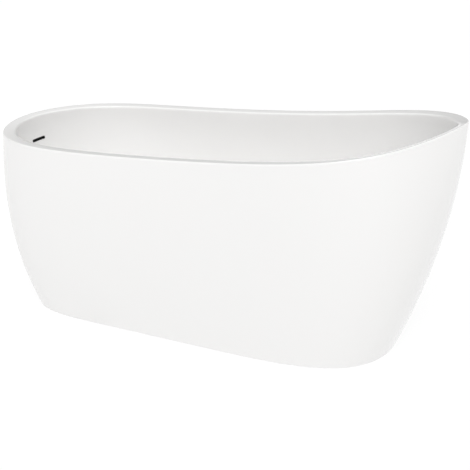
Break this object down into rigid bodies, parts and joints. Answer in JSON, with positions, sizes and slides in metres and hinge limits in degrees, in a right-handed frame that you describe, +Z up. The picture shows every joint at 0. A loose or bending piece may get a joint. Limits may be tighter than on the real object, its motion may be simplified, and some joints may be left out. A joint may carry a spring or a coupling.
{
  "type": "bathtub",
  "caption": "Freestanding double-wall bath with one high back, flat rim, slotted overflow, press-down waste and levelling feet on a steel frame.",
  "frame": {"origin": "on the floor, under the centre of the bounding box", "axes": "+X towards the high back, +Y across, +Z up"},
  "size_m": [1.5, 0.69, 0.7208],
  "materials": {
    "acrylic": "gloss sanitary acrylic",
    "laminate": "rough glass-fibre laminate",
    "plywood": "bare plywood",
    "frame_steel": "satin grey paint on steel tube",
    "zinc_steel": "zinc plate",
    "spring_steel": "bright drawn wire",
    "chrome": "polished chrome plate",
    "black_plastic": "moulded black polymer",
    "black_trim": "satin black",
    "grey_plastic": "moulded light grey polymer",
    "seal_rubber": "soft black rubber"
  },
  "bodies": {
    "tub": {"basin_shell": "acrylic", "outer_skirt": "acrylic", "floor_laminate": "laminate", "base_board": "plywood", "long_rail_1": "frame_steel", "long_rail_2": "frame_steel", "cross_rail_foot": "frame_steel", "cross_rail_mid": "frame_steel", "cross_rail_head": "frame_steel", "rail_plugs": "black_plastic", "board_screws": "zinc_steel", "skirt_straps": "zinc_steel", "skirt_blocks": "plywood", "strap_screws": "zinc_steel", "foot_boss_1": "frame_steel", "foot_boss_2": "frame_steel", "foot_boss_3": "frame_steel", "foot_boss_4": "frame_steel", "foot_boss_5": "frame_steel", "foot_lock_nut_1": "zinc_steel", "foot_lock_nut_2": "zinc_steel", "foot_lock_nut_3": "zinc_steel", "foot_lock_nut_4": "zinc_steel", "foot_lock_nut_5": "zinc_steel", "waste_flange": "chrome", "waste_seal": "seal_rubber", "waste_gasket": "seal_rubber", "waste_back_nut": "chrome", "waste_body": "grey_plastic", "stopper_guide": "chrome", "stopper_spring": "spring_steel", "tail_pipe": "grey_plastic", "tail_slip_nut": "grey_plastic", "overflow_trim": "black_trim", "overflow_gasket": "seal_rubber", "overflow_housing": "grey_plastic", "overflow_hose": "grey_plastic", "hose_clamp_top": "zinc_steel", "hose_clamp_bottom": "zinc_steel"},
    "stopper": {"stopper_cap": "chrome", "stopper_seal": "seal_rubber", "stopper_stem": "chrome"},
    "pad_1": {"foot_pad_1": "black_plastic"},
    "stud_1": {"foot_stud_1": "zinc_steel"},
    "pad_2": {"foot_pad_2": "black_plastic"},
    "stud_2": {"foot_stud_2": "zinc_steel"},
    "pad_3": {"foot_pad_3": "black_plastic"},
    "stud_3": {"foot_stud_3": "zinc_steel"},
    "pad_4": {"foot_pad_4": "black_plastic"},
    "stud_4": {"foot_stud_4": "zinc_steel"},
    "pad_5": {"foot_pad_5": "black_plastic"},
    "stud_5": {"foot_stud_5": "zinc_steel"}
  },
  "joints": [
    {"name": "stopper_press", "type": "slide", "parent": "tub", "child": "stopper", "axis": [0, 0, 1], "range_m": [-0.0085, 0], "deforming": ["stopper_spring"]},
    {"name": "foot_1_lift", "type": "slide", "parent": "tub", "child": "pad_1", "axis": [0, 0, 1], "range_m": [-0.012, 0.0015]},
    {"name": "foot_1_turn", "type": "hinge", "parent": "pad_1", "child": "stud_1", "pos_m": [-0.51, -0.175, 0.05], "axis": [0, 0, 1], "range_deg": [-2469, 309]},
    {"name": "foot_2_lift", "type": "slide", "parent": "tub", "child": "pad_2", "axis": [0, 0, 1], "range_m": [-0.012, 0.0015]},
    {"name": "foot_2_turn", "type": "hinge", "parent": "pad_2", "child": "stud_2", "pos_m": [-0.51, 0.175, 0.05], "axis": [0, 0, 1], "range_deg": [-2469, 309]},
    {"name": "foot_3_lift", "type": "slide", "parent": "tub", "child": "pad_3", "axis": [0, 0, 1], "range_m": [-0.012, 0.0015]},
    {"name": "foot_3_turn", "type": "hinge", "parent": "pad_3", "child": "stud_3", "pos_m": [0.48, -0.175, 0.05], "axis": [0, 0, 1], "range_deg": [-2469, 309]},
    {"name": "foot_4_lift", "type": "slide", "parent": "tub", "child": "pad_4", "axis": [0, 0, 1], "range_m": [-0.012, 0.0015]},
    {"name": "foot_4_turn", "type": "hinge", "parent": "pad_4", "child": "stud_4", "pos_m": [0.48, 0.175, 0.05], "axis": [0, 0, 1], "range_deg": [-2469, 309]},
    {"name": "foot_5_lift", "type": "slide", "parent": "tub", "child": "pad_5", "axis": [0, 0, 1], "range_m": [-0.012, 0.0015]},
    {"name": "foot_5_turn", "type": "hinge", "parent": "pad_5", "child": "stud_5", "pos_m": [-0.02, 0, 0.05], "axis": [0, 0, 1], "range_deg": [-2469, 309]}
  ],
  "couplings": [
    {"joint": "foot_1_turn", "follows": "foot_1_lift", "rad_per_m": 3590.4},
    {"joint": "foot_2_turn", "follows": "foot_2_lift", "rad_per_m": 3590.4},
    {"joint": "foot_3_turn", "follows": "foot_3_lift", "rad_per_m": 3590.4},
    {"joint": "foot_4_turn", "follows": "foot_4_lift", "rad_per_m": 3590.4},
    {"joint": "foot_5_turn", "follows": "foot_5_lift", "rad_per_m": 3590.4}
  ]
}
